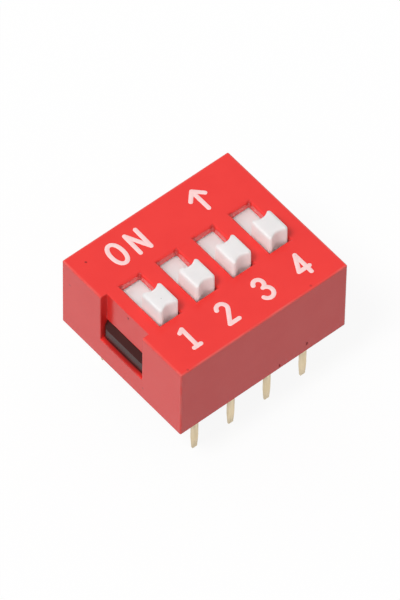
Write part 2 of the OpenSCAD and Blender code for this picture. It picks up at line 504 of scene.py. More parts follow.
def new_group(
    name: str, inputs: Mapping[str, float | tuple[float, ...]], outputs: Sequence[str]
) -> tuple[Graph, dict[str, Socket], dict[str, Socket]]:
    """Starts a shader node group.

    Args:
        name: name of the group.
        inputs: default of each input by its name; three numbers make a vector input.
        outputs: names of the outputs, all of them plain numbers.

    Returns:
        The group's graph, the sockets that its inputs come from and those that its outputs go to.
    """
    tree = bpy.data.node_groups.new(name, "ShaderNodeTree")
    for label, default in inputs.items():
        kind = "NodeSocketVector" if isinstance(default, tuple) else "NodeSocketFloat"
        tree.interface.new_socket(label, in_out="INPUT", socket_type=kind).default_value = default
    for label in outputs:
        tree.interface.new_socket(label, in_out="OUTPUT", socket_type="NodeSocketFloat")
    source = tree.nodes.new("NodeGroupInput")
    target = tree.nodes.new("NodeGroupOutput")
    return (
        Graph(tree),
        {s.name: s for s in source.outputs if s.name},
        {s.name: s for s in target.inputs if s.name},
    )


@cache
def moulded_skin() -> NodeTree:
    """Group for plastic from a mould: Height is its fine grain, Tone its cloudy colour.

    Returns:
        The group.
    """
    inputs = {"Grain scale": 1.0, "Cloud scale": 1.0}
    graph, source, target = new_group("moulded_skin", inputs, ["Height", "Tone"])
    place = graph.place()
    graph.feed(target["Height"], graph.noise(place, source["Grain scale"], FINE_DETAIL))
    cloud = graph.noise(place, source["Cloud scale"], CLOUD_DETAIL)
    graph.feed(target["Tone"], graph.band(cloud, *CLOUD_STEP))
    return graph.tree


@cache
def stray_specks() -> NodeTree:
    """Group for specks of dirt: Mask is 1 in a small ball, in some of the cells that fill space.

    Returns:
        The group.
    """
    inputs = {"Cell scale": 1.0, "Size": 0.1, "Share": 0.2}
    graph, source, target = new_group("stray_specks", inputs, ["Mask"])
    layout = {"Vector": graph.place(), "Scale": source["Cell scale"]}
    cells = graph.node("ShaderNodeTexVoronoi", layout).outputs
    draw = graph.node("ShaderNodeSeparateColor", {"Color": cells["Color"]}).outputs[0]
    chosen = graph.math("LESS_THAN", draw, source["Share"])
    reach = graph.math("DIVIDE", cells["Distance"], source["Size"])
    graph.feed(target["Mask"], graph.math("MULTIPLY", graph.band(reach, 1.0, 0.5), chosen))
    return graph.tree


@cache
def smudge() -> NodeTree:
    """Group for one smear at a known place: Mask fades from 1 at its centre to 0 at its ragged rim.

    Returns:
        The group.
    """
    inputs = {"Centre": (0.0, 0.0, 0.0), "Spread": (1.0, 1.0, 1.0), "Ragged scale": 1.0}
    graph, source, target = new_group("smudge", inputs, ["Mask"])
    place = graph.place()
    away = graph.vector("SUBTRACT", place, source["Centre"]).outputs[0]
    shares = graph.vector("DIVIDE", away, source["Spread"]).outputs[0]
    reach = graph.vector("LENGTH", shares).outputs["Value"]
    ragged = graph.math("SUBTRACT", graph.noise(place, source["Ragged scale"]), 0.5)
    graph.feed(target["Mask"], graph.band(graph.math("ADD", reach, ragged), 1.0, 0.35))
    return graph.tree


@cache
def rubbed_and_highlit_edges() -> NodeTree:
    """Group for a box's edges, worn and with a painted highlight: Mask is where two of its faces come
    within a band of each other.

    Returns:
        The group.
    """
    inputs = {"Reach": (1.0, 1.0, 1.0), "Band": 1.0, "Patch scale": 1.0}
    graph, source, target = new_group("rubbed_and_highlit_edges", inputs, ["Mask"])
    place = graph.place()
    span = graph.vector("ABSOLUTE", place).outputs[0]
    inset = graph.vector("SUBTRACT", source["Reach"], span).outputs[0]
    parts = graph.node("ShaderNodeSeparateXYZ", {0: inset}).outputs
    near = [graph.band(graph.math("DIVIDE", part, source["Band"]), 1.0, 0.0) for part in parts]
    pairs = [graph.math("MULTIPLY", near[k], near[k - 1]) for k in range(3)]
    patch = graph.noise(place, source["Patch scale"], FINE_DETAIL)
    patch = graph.band(patch, *PATCH_STEP, LEAST_WEAR_AND_HIGHLIGHT)
    graph.feed(target["Mask"], graph.math("MULTIPLY", graph.highest(pairs), patch))
    return graph.tree


@cache
def pocket_walls() -> NodeTree:
    """Group for a row of pockets along x, with one of them half a pitch from the middle.

    Wall is 1 below their mouths and fades out above. Corner rises within a band of their upright corners.
    Around is 1 on the walls and on the face round the mouths.

    Returns:
        The group.
    """
    sizes = ("Half pitch", "Half width", "Half length", "Half row", "Mouth", "Band")
    outputs = ["Wall", "Corner", "Around"]
    graph, source, target = new_group("pocket_walls", dict.fromkeys(sizes, 1.0), outputs)
    across, along, height = graph.node("ShaderNodeSeparateXYZ", {0: graph.place()}).outputs
    from_pole = graph.math("SUBTRACT", across, source["Half pitch"])
    offset = graph.math("PINGPONG", from_pole, source["Half pitch"])
    beside = graph.math("SUBTRACT", offset, source["Half width"])
    beyond = graph.math("SUBTRACT", graph.math("ABSOLUTE", along), source["Half length"])
    below = graph.math("SUBTRACT", source["Mouth"], height)
    *gaps, depth = (graph.math("DIVIDE", way, source["Band"]) for way in (beside, beyond, below))
    in_row = graph.math("LESS_THAN", graph.math("ABSOLUTE", across), source["Half row"])
    sunk = graph.math("MULTIPLY", depth, in_row)
    inside = graph.band(graph.highest(gaps), 0.6, 0.3)
    wall = graph.math("MULTIPLY", inside, graph.band(sunk, 0.1, 0.5))
    squares = [graph.math("MULTIPLY", gap, gap) for gap in gaps]
    near = graph.band(graph.math("SQRT", graph.math("ADD", *squares)), 1.0, 0.4)
    graph.feed(target["Wall"], wall)
    graph.feed(target["Corner"], graph.math("MULTIPLY", near, graph.band(sunk, 0.0, 0.3)))
    graph.feed(target["Around"], graph.math("MAXIMUM", wall, graph.band(depth, 0.4, 0.1)))
    return graph.tree


@cache
def drawn_streaks() -> NodeTree:
    """Group for fine lines along one direction: Mask is a noise squeezed across that direction.

    Returns:
        The group.
    """
    inputs = {"Squeeze": (1.0, 1.0, 1.0), "Scale": 1.0}
    graph, source, target = new_group("drawn_streaks", inputs, ["Mask"])
    drawn = graph.vector("MULTIPLY", graph.place(), source["Squeeze"]).outputs[0]
    lines = graph.noise(drawn, source["Scale"], FINE_DETAIL)
    graph.feed(target["Mask"], graph.band(lines, *PATCH_STEP))
    return graph.tree


# Finishes


@dataclass(frozen=True)
class Shade:
    """A colour as a screen shows it, from 0 to 255."""

    red: float
    green: float
    blue: float

    @property
    def rgba(self) -> tuple[float, float, float, float]:
        """The same colour as light: each part goes through the screen's own curve.

        Returns:
            Red, green, blue and a full alpha, from 0 to 1.
        """
        parts = np.array([self.red, self.green, self.blue]) / 255
        light = np.where(parts <= 0.04045, parts / 12.92, ((parts + 0.055) / 1.055) ** 2.4)
        return (*light.tolist(), 1.0)


def start_material(name: str) -> tuple[Material, Graph, Node]:
    """Starts a material with one shader.

    Args:
        name: name of the material.

    Returns:
        The material, its graph and the shader.
    """
    material = bpy.data.materials.new(name)
    material.use_nodes = True
    return material, Graph(material.node_tree), material.node_tree.nodes["Principled BSDF"]


@dataclass(frozen=True)
class Grain:
    """Fine grain and soft clouds of a surface: their sizes and the grain's depth in millimetres."""

    size: float = 0.06
    depth: float = 0.004
    cloud: float = 1.6

    def lay(self, graph: Graph, shader: Node) -> Socket:
        """Gives a shader the grain as a bump.

        Args:
            graph: the material's graph.
            shader: its shader.

        Returns:
            The tone of the clouds, from 0 to 1.
        """
        scales = {"Grain scale": 1 / (self.size * MM), "Cloud scale": 1 / (self.cloud * MM)}
        skin = graph.group(moulded_skin(), scales)
        relief = {"Strength": 1.0, "Distance": self.depth * MM, "Height": skin["Height"]}
        graph.feed(shader.inputs["Normal"], graph.node("ShaderNodeBump", relief).outputs[0])
        return skin["Tone"]


@dataclass(frozen=True)
class Smear:
    """A mark at one place: centre and spread in millimetres, and how much of it shows."""

    centre: Triple
    spread: Triple
    strength: float

    def mask(self, graph: Graph) -> Socket:
        """Adds the mark to a material.

        Args:
            graph: the material's graph.

        Returns:
            How much of the mark shows at each place.
        """
        values = {
            "Centre": tuple(np.array(self.centre) * MM),
            "Spread": tuple(np.array(self.spread) * MM),
            "Ragged scale": 1 / (max(self.spread) * MM),
        }
        return graph.math("MULTIPLY", graph.group(smudge(), values)["Mask"], self.strength)


@dataclass(frozen=True)
class Pockets:
    """A row of pockets with polished walls.

    Sizes are in millimetres. Gloss is a share, and so is the painted shade that darkens the pockets'
    corners.
    Cast is the tone of the light that the walls and the face round them throw on what stands in the
    pockets.
    """

    pitch: float
    width: float
    length: float
    mouth: float
    gloss: float
    corner_shade: float
    cast: Shade
    band: float = 0.25
    roughness: float = 0.1

    def walls(self, graph: Graph) -> Mapping[str, Socket]:
        """Adds the pockets to a material.

        Args:
            graph: the material's graph.

        Returns:
            The masks of pocket_walls.
        """
        values = {
            "Half pitch": self.pitch / 2,
            "Half width": self.width / 2,
            "Half length": self.length / 2,
            "Half row": self.pitch * POLES / 2,
            "Mouth": self.mouth,
            "Band": self.band,
        }
        return graph.group(pocket_walls(), {name: size * MM for name, size in values.items()})


@dataclass(frozen=True)
class Plastic:
    """A moulded plastic: two tones in soft clouds, a fine grain, specks and smears of dirt, and painted
    shade in the same dark tone.
    """

    name: str
    shade: Shade
    deep_shade: Shade
    dirt_and_shade: Shade
    dirt_roughness: float = 0.9
    roughness: Pair = (0.4, 0.5)
    specular: float = 0.5
    depth: float = 0.0
    grain: Grain = Grain()
    speck_cell: float = 1.3
    speck_size: float = 0.045
    speck_share: float = 0.12
    smears: tuple[Smear, ...] = ()
    pockets: Pockets | None = None
    edge_wear_and_highlight: Shade | None = None
    edge_reach: Triple = (1.0, 1.0, 1.0)
    edge_band: float = 0.16

    def worn_and_highlit(self, graph: Graph) -> Socket:
        """Adds the rubbed edges and their painted highlight to the material.

        Args:
            graph: the material's graph.

        Returns:
            Where they show.
        """
        values = {
            "Reach": tuple(np.array(self.edge_reach) * MM),
            "Band": self.edge_band * MM,
            "Patch scale": 1 / (self.grain.cloud * MM),
        }
        return graph.group(rubbed_and_highlit_edges(), values)["Mask"]

    def specks(self, graph: Graph) -> Socket:
        """Adds the stray specks to the material.

        Args:
            graph: the material's graph.

        Returns:
            Where they show.
        """
        values = {
            "Cell scale": 1 / (self.speck_cell * MM),
            "Size": self.speck_size / self.speck_cell,
            "Share": self.speck_share,
        }
        return graph.group(stray_specks(), values)["Mask"]

    def material(self) -> Material:
        """Builds the shader.

        The clouds mix the two tones. Worn edges with a painted highlight, and then all the dirt and the
        painted shade, are laid over them. In light that bounces from pockets and the face round them, the
        tone is the one that they cast.

        Returns:
            The new material.
        """
        material, graph, shader = start_material(self.name)
        shader.inputs["Specular IOR Level"].default_value = self.specular
        if self.depth:
            shader.inputs["Subsurface Weight"].default_value = 1.0
            shader.inputs["Subsurface Radius"].default_value = (1.0, 1.0, 1.0)
            shader.inputs["Subsurface Scale"].default_value = self.depth * MM
        tone = self.grain.lay(graph, shader)
        colour = graph.mix(tone, self.shade.rgba, self.deep_shade.rgba)
        # Edges are lightened for wear and also as a painted highlight along them.
        if self.edge_wear_and_highlight:
            colour = graph.mix(self.worn_and_highlit(graph), colour, self.edge_wear_and_highlight.rgba)
        walls = self.pockets.walls(graph) if self.pockets else {}
        marks = [self.specks(graph), *(smear.mask(graph) for smear in self.smears)]
        # Painted shade: the pockets' corners are darkened in the same tone as the dirt.
        if self.pockets:
            marks.append(graph.math("MULTIPLY", walls["Corner"], self.pockets.corner_shade))
        dirt_and_shade = graph.highest(marks)
        colour = graph.mix(dirt_and_shade, colour, self.dirt_and_shade.rgba)
        if self.pockets:
            shader.inputs["Coat Roughness"].default_value = self.pockets.roughness
            gloss = graph.math("MULTIPLY", walls["Wall"], self.pockets.gloss)
            graph.feed(shader.inputs["Coat Weight"], gloss)
            thrown = graph.math("MULTIPLY", graph.rays()["Is Diffuse Ray"], walls["Around"])
            colour = graph.mix(thrown, colour, self.pockets.cast.rgba)
        graph.feed(shader.inputs["Base Color"], colour)
        sheen = graph.band(tone, 0.0, 1.0, *self.roughness)
        matt = graph.math("MULTIPLY", dirt_and_shade, self.dirt_roughness)
        graph.feed(shader.inputs["Roughness"], graph.math("MAXIMUM", sheen, matt))
        return material


@dataclass(frozen=True)
class Plating:
    """A plated strip metal: bright and dull tones in streaks along the strip, with a soft grain."""

    name: str
    bright: Shade
    dull: Shade
    squeeze: Triple
    streak: float = 0.25
    roughness: Pair = (0.38, 0.5)
    grain: Grain = Grain(size=0.05, depth=0.002, cloud=0.8)

    def material(self) -> Material:
        """Builds the shader.

        Streaks mix the two tones, and clouds set how matt each patch is.

        Returns:
            The new material.
        """
        material, graph, shader = start_material(self.name)
        shader.inputs["Metallic"].default_value = 1.0
        lines = {"Squeeze": self.squeeze, "Scale": 1 / (self.streak * MM)}
        streaks = graph.group(drawn_streaks(), lines)["Mask"]
        tone = graph.mix(streaks, self.bright.rgba, self.dull.rgba)
        graph.feed(shader.inputs["Base Color"], tone)
        sheen = graph.band(self.grain.lay(graph, shader), 0.0, 1.0, *self.roughness)
        graph.feed(shader.inputs["Roughness"], sheen)
        return material


# Sub-assemblies


@dataclass
class Cover:
    """The red moulding: a hollow box with four slots in its top, a window in each end and one recess."""

    slot_w: float = 1.37
    slot_l: float = 3.35
    slot_r: float = 0.1
    slot_lip_r: float = 0.16
    slot_foot_r: float = 0.03
    recess_w: float = 3.45
    recess_d: float = 0.45
    sill_z: float = 1.62
    window_z: float = 3.05
    end_t: float = 0.98
    side_t: float = 0.82
    edge_r: float = 0.1
    rim_r: float = 0.05
    lip_r: float = 0.06
    inner_r: float = 0.02
    bevel_steps: int = 4
    speck_r: float = 0.09
    mark_depth: float = 0.1
    top_specks: tuple[Triple, ...] = (
        (-4.87, 4.06, 0.8),
        (3.38, -4.77, 0.45),
        (-5.25, -4.86, 0.4),
    )
    front_marks: tuple[tuple[float, ...], ...] = (
        (3.05, 0.61, 0.12, 0.22, 0.75),
        (1.14, 0.27, 0.08, 0.18, 0.75),
        (-0.69, 0.05, 0.1, 0.08, 0.6),
    )
    end_marks: tuple[tuple[float, ...], ...] = (
        (4.29, 3.8, 0.16, 0.1, 0.25),
        (-1.82, 0.9, 0.08, 0.12, 0.3),
    )
    box: Extent = field(default_factory=lambda: Extent.of("cover"))
    ceiling_z: float = field(default_factory=lambda: float(Extent.of("base").high[2]))

    @property
    def half(self) -> np.ndarray:
        """Half length, half width and full height of the outside."""
        return self.box.high

    def lattice(self) -> tuple[np.ndarray, np.ndarray]:
        """Lattice of the cover's planes, and which of its cells are plastic.

        The planes are the outside, the back of the recess and the cavity along x, and all the slots' edges.
        The middle planes along y are the recess's sides near the ends and the slots' ends between them.

        Returns:
            Lattice points, and the filled cells.
        """
        length, width, height = self.half
        recess_x, cavity_x = length - self.recess_d, length - self.end_t
        poles = pole_places()
        slots = (poles[:, None] + np.array([-1, 1]) * self.slot_w / 2).ravel()
        ends = np.array([cavity_x, recess_x, length])
        x = np.concatenate([-ends[::-1], slots, ends])
        stand_in = self.slot_l / 2
        sides = np.array([stand_in, width - self.side_t, width])
        y = np.concatenate([-sides[::-1], sides])
        z = np.array([self.box.low[2], self.sill_z, self.window_z, self.ceiling_z, height])
        points = np.stack(np.meshgrid(x, y, z, indexing="ij"), axis=-1)
        half_gap = np.where(np.abs(x) < cavity_x - TINY, self.slot_l, self.recess_w) / 2
        # The two middle planes leave the stand-in for the slots' ends or the recess's sides
        points[:, 2, :, 1] = -half_gap[:, None]
        points[:, 3, :, 1] = half_gap[:, None]

        middle = [(a[1:] + a[:-1]) / 2 for a in (x, y, z)]
        mx, my, mz = np.meshgrid(*middle, indexing="ij")
        between = np.abs(my) < stand_in
        cavity = (np.abs(mx) < cavity_x) & (np.abs(my) < width - self.side_t) & (mz < self.ceiling_z)
        in_slot = np.min(np.abs(mx[..., None] - poles), axis=-1) < self.slot_w / 2
        slot = in_slot & between & (mz > self.ceiling_z)
        window = (np.abs(mx) > recess_x) & between & (mz > self.sill_z) & (mz < self.window_z)
        recess = (mx < -recess_x) & between & (mz > self.window_z)
        groove = (np.abs(mx) > cavity_x) & (np.abs(mx) < recess_x) & between & (mz < self.window_z)
        return points, ~(cavity | slot | window | recess | groove)

    def edge_radii(self, mesh: Mesh) -> np.ndarray:
        """Rounding of each edge: none between faces in one plane, and otherwise by where the edge lies.

        Args:
            mesh: the skin of the lattice.

        Returns:
            A radius in millimetres for each edge of the mesh.
        """
        points = listed(mesh.vertices, "co", 3, float) / MM
        pairs = points[listed(mesh.edges, "vertices", 2, np.int32)]
        middle = np.abs(pairs.mean(axis=1))
        upright = np.abs(pairs[:, 0, 2] - pairs[:, 1, 2]) > self.inner_r

        # Each of the six directions that a face can look in gets a number of its own
        axis_numbers = np.array([1, 2, 4])
        facing = np.round(listed(mesh.polygons, "normal", 3, float)) @ axis_numbers
        loop_edges = listed(mesh.loops, "edge_index", 1, np.int32)[:, 0]
        loop_facing = np.repeat(facing, QUAD)
        lowest, highest = np.full((2, len(mesh.edges)), [[np.inf], [-np.inf]])
        np.minimum.at(lowest, loop_edges, loop_facing)
        np.maximum.at(highest, loop_edges, loop_facing)

        at_end, at_side, at_top = np.isclose(middle, self.half, atol=self.inner_r).T
        at_rim = middle[:, 2] < self.inner_r
        inner = middle[:, :2] < self.half[:2] - np.array([self.end_t, self.side_t]) - self.inner_r
        by_slot = inner.all(axis=1) & (middle[:, 2] > self.ceiling_z - self.inner_r)
        return np.select(
            [
                lowest == highest,
                at_end & at_side | at_side & at_top | at_end & at_top,
                by_slot & upright,
                by_slot & at_top,
                by_slot,
                at_rim & (at_end | at_side),
                at_top | at_end,
            ],
            [0.0, self.edge_r, self.slot_r, self.slot_lip_r, self.slot_foot_r, self.rim_r, self.lip_r],
            self.inner_r,
        )

    def build(self) -> Object:
        """Makes the moulding: the lattice's skin with its edges rounded.

        Returns:
            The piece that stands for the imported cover.
        """
        piece = make_piece("cover_moulding", lattice_skin(*self.lattice()))
        weights = piece.data.attributes.new("bevel_weight_edge", "FLOAT", "EDGE")
        radii = self.edge_radii(piece.data)
        weights.data.foreach_set("value", radii / radii.max())
        bevel = piece.modifiers.new("rounded_edges", "BEVEL")
        bevel.limit_method = "WEIGHT"
        bevel.width = float(radii.max()) * MM
        bevel.segments = self.bevel_steps
        bevel.use_clamp_overlap = False
        bevel.harden_normals = True
        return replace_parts(piece, "cover")

    def smears(self) -> list[Smear]:
        """Places the dirt and the painted shade on the cover.

        Returns:
            Marks on the top, the front and the near end, a dark spot on the recess's back wall, and painted
            shade on the recess's side wall and on its sill.
        """
        left, front, top = -self.half[0], -self.half[1], self.half[2]
        deep, back, mid_y = self.mark_depth, left + self.recess_d, self.recess_w / 2
        return [
            *(Smear((x, y, top), (self.speck_r,) * 3, shown) for x, y, shown in self.top_specks),
            *(Smear((x, front, z), (w, deep, h), shown) for x, z, w, h, shown in self.front_marks),
            *(Smear((left, y, z), (deep, w, h), shown) for y, z, w, h, shown in self.end_marks),
            Smear((back, -0.04, 4.92), (0.1, 0.1, 0.1), 1.0),
            # Painted shade: the recess's side wall and the sill under the hooks are darkened.
            Smear((left + self.recess_d / 2, mid_y, 4.1), (0.5, 0.12, 1.6), 0.3),
            Smear((back, 0.0, self.sill_z), (0.45, 3.4, 0.12), 0.85),
            Smear((left, 0.0, self.sill_z), (0.3, mid_y, 0.12), 0.45),
        ]

    def dress(self, piece: Object) -> None:
        """Gives the moulding its red finish, with the dirt that it carries, painted shade in its slots'
        corners, recess and sill, and edges lightened by wear and a painted highlight.

        Args:
            piece: the cover's moulding.
        """
        pockets = Pockets(
            pitch=float(np.diff(pole_places())[0]),
            width=self.slot_w,
            length=self.slot_l,
            mouth=self.half[2],
            gloss=0.8,
            corner_shade=0.4,
            cast=Shade(250, 174, 168),
        )
        finish = Plastic(
            name="red_moulding",
            shade=Shade(244, 53, 48),
            deep_shade=Shade(241, 51, 47),
            dirt_and_shade=Shade(122, 12, 14),
            roughness=(0.2, 0.24),
            specular=0.36,
            smears=tuple(self.smears()),
            pockets=pockets,
            # Edge tone: wear together with a painted highlight on the rounded edges.
            edge_wear_and_highlight=Shade(236, 103, 97),
            edge_reach=tuple(self.half.tolist()),
        )
        settle(piece, "housing", finish.material())


@dataclass
class Slider:
    """One white slider: a scooped knob on a flange, with a skirt and pocket for its contact below."""

    number: int
    knob_l: float = 1.64
    knob_w: float = 1.3
    knob_draft: float = 0.02
    knob_r: float = 0.2
    knob_corner: float = 0.15
    scoop_w: float = 1.0
    scoop_depth: float = 0.18
    flange_t: float = 0.68
    flange_drop: float = 0.03
    flange_corner: float = 0.08
    edge_r: float = 0.04
    root_r: float = 0.03
    skirt_l: float = 4.03
    skirt_t: float = 0.3

    def stations(self) -> tuple[np.ndarray, np.ndarray]:
        """Sections of the slider from the knob's top down to the skirt and up into the pocket.

        Returns:
            The sections in the columns of Column, and the rounding at each.
        """
        box = Extent.of(f"slider_{self.number}")
        body_top = Extent.of("cover").high[2]
        flange_top = Extent.of("base").high[2] - self.flange_drop
        flange_low = flange_top - self.flange_t
        half_w, half_l = box.size[:2] / 2
        top_l = self.knob_l / 2 - self.knob_draft
        knob, pocket_w = self.knob_w / 2, half_w - self.skirt_t
        corner, scoop, square = self.knob_corner, self.scoop_depth, self.flange_corner
        rows = [
            (knob - self.knob_r, top_l - self.knob_r, box.high[2], corner, scoop, 0),
            (knob, top_l, box.high[2], corner, scoop, self.knob_r),
            (knob, self.knob_l / 2, body_top, corner, scoop, self.knob_r),
            (knob, self.knob_l / 2, flange_top, corner, scoop, self.root_r),
            (half_w, half_l, flange_top, square, 0, self.edge_r),
            (half_w, half_l, flange_low, square, 0, self.edge_r),
            (half_w, self.skirt_l / 2, flange_low, square, 0, self.root_r),
            (half_w, self.skirt_l / 2, box.low[2], square, 0, self.edge_r),
            (pocket_w, self.skirt_l / 2 - self.skirt_t, box.low[2], square, 0, self.edge_r),
            (pocket_w, self.skirt_l / 2 - self.skirt_t, flange_low, square, 0, 0),
        ]
        table = np.array(rows, float)
        return table[:, :-1], table[:, -1]

    def build(self) -> Object:
        """Makes the slider as one loft along z, closed at the knob's top and the pocket's ceiling.

        Returns:
            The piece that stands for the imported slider.
        """
        stations = soften(*self.stations())
        places = np.zeros((len(stations), 3))
        places[:, :2] = Extent.of(f"slider_{self.number}").middle[:2]
        places[:, 2] = stations[:, Column.PLACE]
        across, along = np.broadcast_to(np.eye(3)[:2, None], (2, *places.shape))
        surface = loft(Path(places, across, along), stations, RingDetail(), self.scoop_w / 2)
        piece = make_piece(f"slider_moulding_{self.number}", surface)
        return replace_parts(piece, f"slider_{self.number}")

    def dress(self, piece: Object, material: Material) -> None:
        """Gives the slider its white finish and its pole's body."""
        settle(piece, f"pole_{self.number}", material)


@dataclass
class Terminal:
    """One plated terminal: a strip that lies as a pad, bends down and narrows to a pin."""

    row: Row
    number: int
    strip_t: float = 0.2
    pin_w: float = 0.4
    tip_w: float = 0.32
    tip_t: float = 0.13
    taper_l: float = 0.9
    tip_r: float = 0.015
    bend_r: float = 0.2
    shoulder_z: float = 0.75
    corner: float = 0.012
    bend_steps: int = 8

    @property
    def node(self) -> str:
        """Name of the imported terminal."""
        return f"terminal_{self.row.name.lower()}_{self.number}"

    def route(self) -> tuple[Path, np.ndarray]:
        """Middle line of the strip, outwards along the pad, round the bend and down to the tip.

        The bend is a quarter circle of the inner radius plus half the strip.
        Width falls in a step at the shoulder, then along a straight taper.

        Returns:
            The path, and the section at each of its places in the columns of Column.
        """
        box = Extent.of(self.node)
        reach = np.abs([box.low[1], box.high[1]])
        half_t, half_pad = self.strip_t / 2, box.size[0] / 2
        leg_y, pad_z = reach.max() - half_t, box.high[2] - half_t
        radius = self.bend_r + half_t
        turn = np.linspace(0, math.pi / 2, self.bend_steps + 1)
        bend_y = leg_y - radius + radius * np.sin(turn)
        bend_z = pad_z - radius + radius * np.cos(turn)
        tip = box.low[2]
        leg = [
            (self.shoulder_z, half_pad, half_t),
            (self.shoulder_z, self.pin_w / 2, half_t),
            (tip + self.taper_l, self.pin_w / 2, half_t),
            (tip + self.tip_r, self.tip_w / 2, self.tip_t / 2),
            (tip, self.tip_w / 2 - self.tip_r, self.tip_t / 2 - self.tip_r),
        ]
        rows = [
            (reach.min(), pad_z, 0, half_pad, half_t),
            *((y, z, a, half_pad, half_t) for y, z, a in zip(bend_y, bend_z, turn)),
            *((leg_y, z, math.pi / 2, half_w, half_l) for z, half_w, half_l in leg),
        ]
        y, z, angle, half_w, half_l = np.array(rows).T
        stations = np.zeros((len(y), len(Column)))
        stations[:, Column.HALF_W] = half_w
        stations[:, Column.HALF_L] = half_l
        stations[:, Column.CORNER] = self.corner

        side = self.row.value
        places = np.stack([np.full(len(y), box.middle[0]), side * y, z], axis=1)
        across = np.tile([1.0, 0.0, 0.0], (len(y), 1))
        along = np.stack([np.zeros(len(y)), side * np.sin(angle), np.cos(angle)], axis=1)
        return Path(places, across, along), stations

    def build(self) -> Object:
        """Makes the strip as a loft along its middle line.

        Returns:
            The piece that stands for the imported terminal.
        """
        surface = loft(*self.route(), RingDetail(corner=3, end=4, side=2))
        piece = make_piece(f"{self.node}_strip", surface)
        piece.modifiers.new("even_shading", "WEIGHTED_NORMAL")
        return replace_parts(piece, self.node)

    def dress(self, piece: Object, material: Material) -> None:
        """Gives the terminal its plating and fixes it in the housing."""
        settle(piece, "housing", material)


@dataclass(frozen=True)
class Stroke:
    """One stroke of a sign: an arc of an ellipse, or the straight line from start to stop."""

    start: Pair = (0.0, 0.0)
    stop: Pair = (0.0, 0.0)
    radii: Pair | None = None
    turn_deg: Pair = (0.0, FULL_TURN)
    power: float = 2.0
    steps: int = 32

    @property
    def closed(self) -> bool:
        """Whether the stroke runs into its own start."""
        return self.radii is not None and abs(self.turn_deg[1] - self.turn_deg[0]) == FULL_TURN

    def line(self) -> np.ndarray:
        """Middle line of the stroke.

        An arc is start + radii times (cos, sin) of an angle that runs between the two turns, each raised
        to 2 / power with its sign kept. A power above 2 makes an ellipse squarer.

        Returns:
            Points in the sign's own plane.
        """
        if self.radii is None:
            return np.array([self.start, self.stop])
        angle = np.radians(np.linspace(*self.turn_deg, self.steps + 1))
        turn = np.stack([np.cos(angle), np.sin(angle)], axis=1)
        bent = np.sign(turn) * np.abs(turn) ** (2 / self.power)
        points = np.array(self.start) + np.array(self.radii) * bent
        return points[:-1] if self.closed else points


class Sign(Enum):
    """The signs on the cover's top, as strokes about their own middle, in millimetres."""

    LETTER_O = (Stroke(radii=(0.385, 0.71), power=2.15, steps=64),)
    LETTER_N = (
        Stroke((-0.39, -0.72), (-0.36, 0.67)),
        Stroke((-0.36, 0.67), (0.34, -0.72)),
        Stroke((0.34, -0.72), (0.37, 0.65)),
    )
    ARROW = (
        Stroke((0.0, -0.72), (0.0, 0.72)),
        Stroke((-0.5, 0.2), (0.0, 0.72)),
        Stroke((0.5, 0.2), (0.0, 0.72)),
    )
    DIGIT_1 = (
        Stroke((-0.01, -0.67), (0.01, 0.69)),
        Stroke((-0.24, 0.54), (0.01, 0.69)),
        Stroke((-0.24, -0.67), (0.21, -0.67)),
    )
    DIGIT_2 = (
        Stroke((0.0, 0.36), radii=(0.31, 0.33), turn_deg=(165, -35)),
        Stroke((0.254, 0.17), (-0.31, -0.68)),
        Stroke((-0.31, -0.68), (0.32, -0.68)),
    )
    DIGIT_3 = (
        Stroke((0.0, 0.37), radii=(0.29, 0.32), turn_deg=(160, -82)),
        Stroke((0.01, -0.32), radii=(0.36, 0.38), turn_deg=(82, -158)),
    )
    DIGIT_4 = (
        Stroke((0.22, -0.74), (0.22, 0.64)),
        Stroke((-0.33, -0.37), (0.22, 0.64)),
        Stroke((-0.33, -0.37), (0.39, -0.37)),
    )


